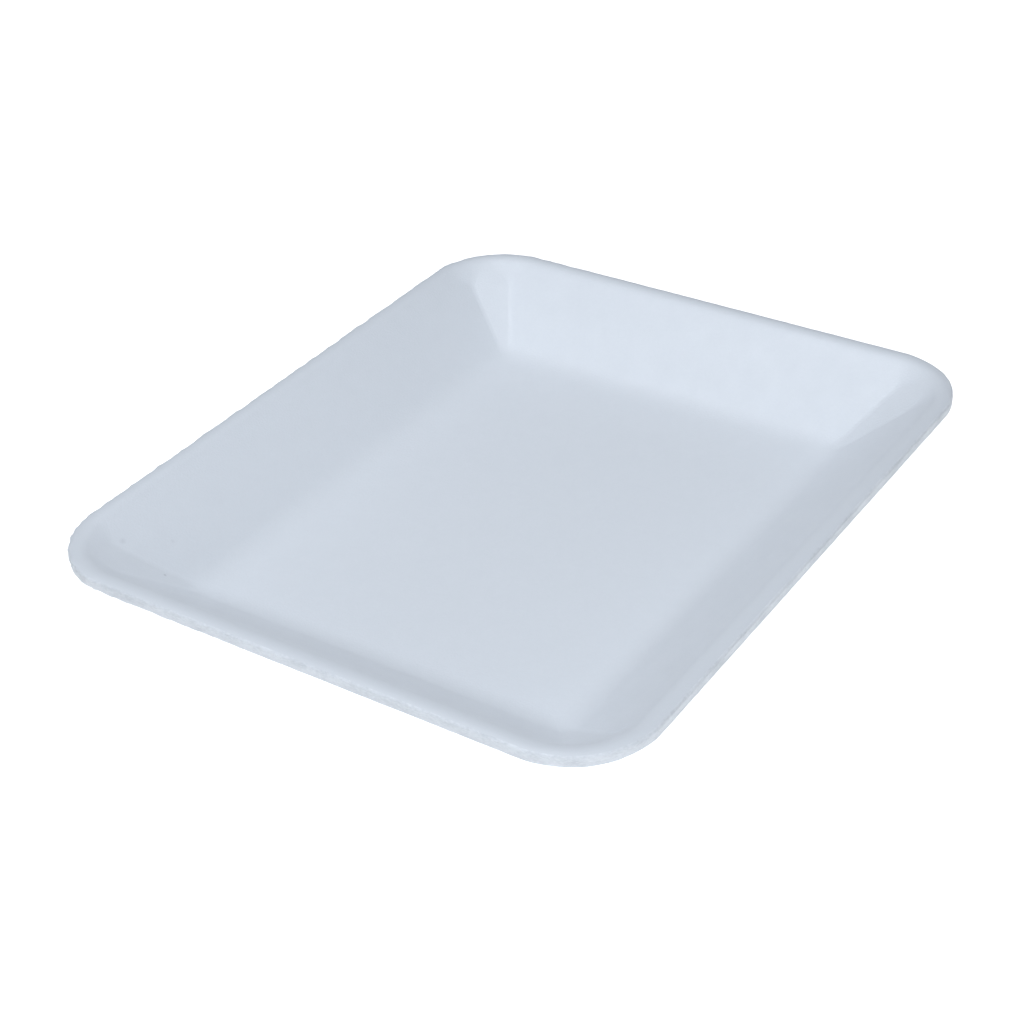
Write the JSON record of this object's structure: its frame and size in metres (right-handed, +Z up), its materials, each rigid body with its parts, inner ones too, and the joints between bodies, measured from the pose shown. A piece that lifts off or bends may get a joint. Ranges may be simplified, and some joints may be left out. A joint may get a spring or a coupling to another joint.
{
  "type": "foam tray",
  "caption": "Shallow rectangular foam tray with rounded corners, sloping walls, a flat floor and a crowned lip around the rim, for packing or serving food.",
  "frame": {"origin": "middle of the flat base, on the surface that the tray stands on", "axes": "+X along the long sides, +Y along the short sides, +Z up out of the open tray"},
  "size_m": [0.26, 0.2176, 0.0284],
  "materials": {
    "foam": "white expanded polystyrene foam with a slightly cool cast: a smooth moulded skin with a soft sheen, a very fine cell grain, and a rougher cut edge along the outside of the lip"
  },
  "bodies": {
    "root": {"tray": "foam"}
  },
  "joints": []
}
